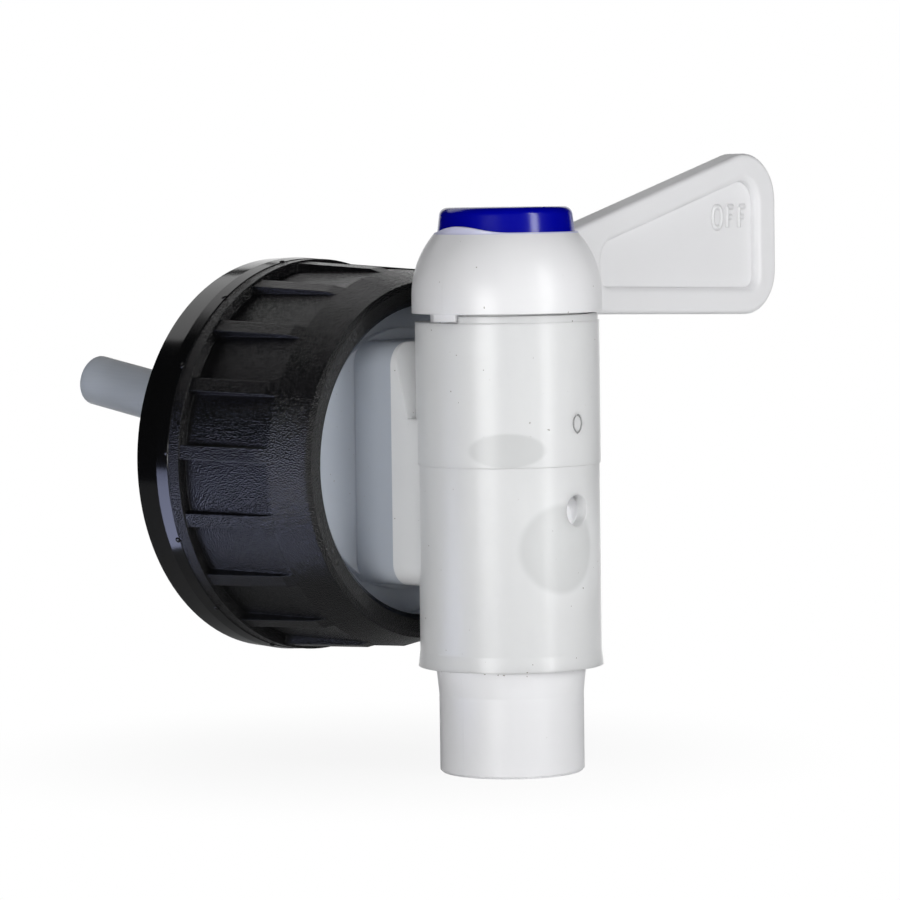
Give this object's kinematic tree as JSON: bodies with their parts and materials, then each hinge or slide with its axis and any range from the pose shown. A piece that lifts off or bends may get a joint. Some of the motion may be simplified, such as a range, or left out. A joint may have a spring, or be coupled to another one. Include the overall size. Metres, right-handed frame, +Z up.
{
  "type": "container dosing tap",
  "caption": "Plastic dosing tap for a screw-neck container: loose union cap, hollow neck with vent tube, upright barrel, turning key with flat handle, top plug and spout.",
  "frame": {"origin": "centre of the seal's rear face, where the rim of the container's neck seats", "axes": "+Y along the cap's axis into the container, +Z up along the barrel, +X towards the handle when shut"},
  "size_m": [0.1043, 0.1185, 0.1037],
  "materials": {
    "natural_pp": "moulded, translucent, satin gloss",
    "white_hdpe": "moulded, opaque white, satin",
    "blue_ldpe": "moulded, deep blue, glossy",
    "black_pp": "moulded, spark-eroded grain, glossy rear band",
    "foam_pe": "die-cut closed-cell foam",
    "natural_ldpe": "extruded, translucent"
  },
  "bodies": {
    "body": {"tap_body": "natural_pp", "flange_seal": "foam_pe", "vent_tube": "natural_ldpe"},
    "key": {"valve_key": "white_hdpe", "top_plug": "blue_ldpe"},
    "cap": {"screw_cap": "black_pp"}
  },
  "joints": [
    {"name": "key_turn", "type": "hinge", "parent": "body", "child": "key", "pos_m": [0, -0.0295, 0], "axis": [0, 0, 1], "range_deg": [-180, 0]},
    {"name": "cap_spin", "type": "hinge", "parent": "body", "child": "cap", "pos_m": [0, 0, 0], "axis": [0, 1, 0], "continuous": true}
  ]
}
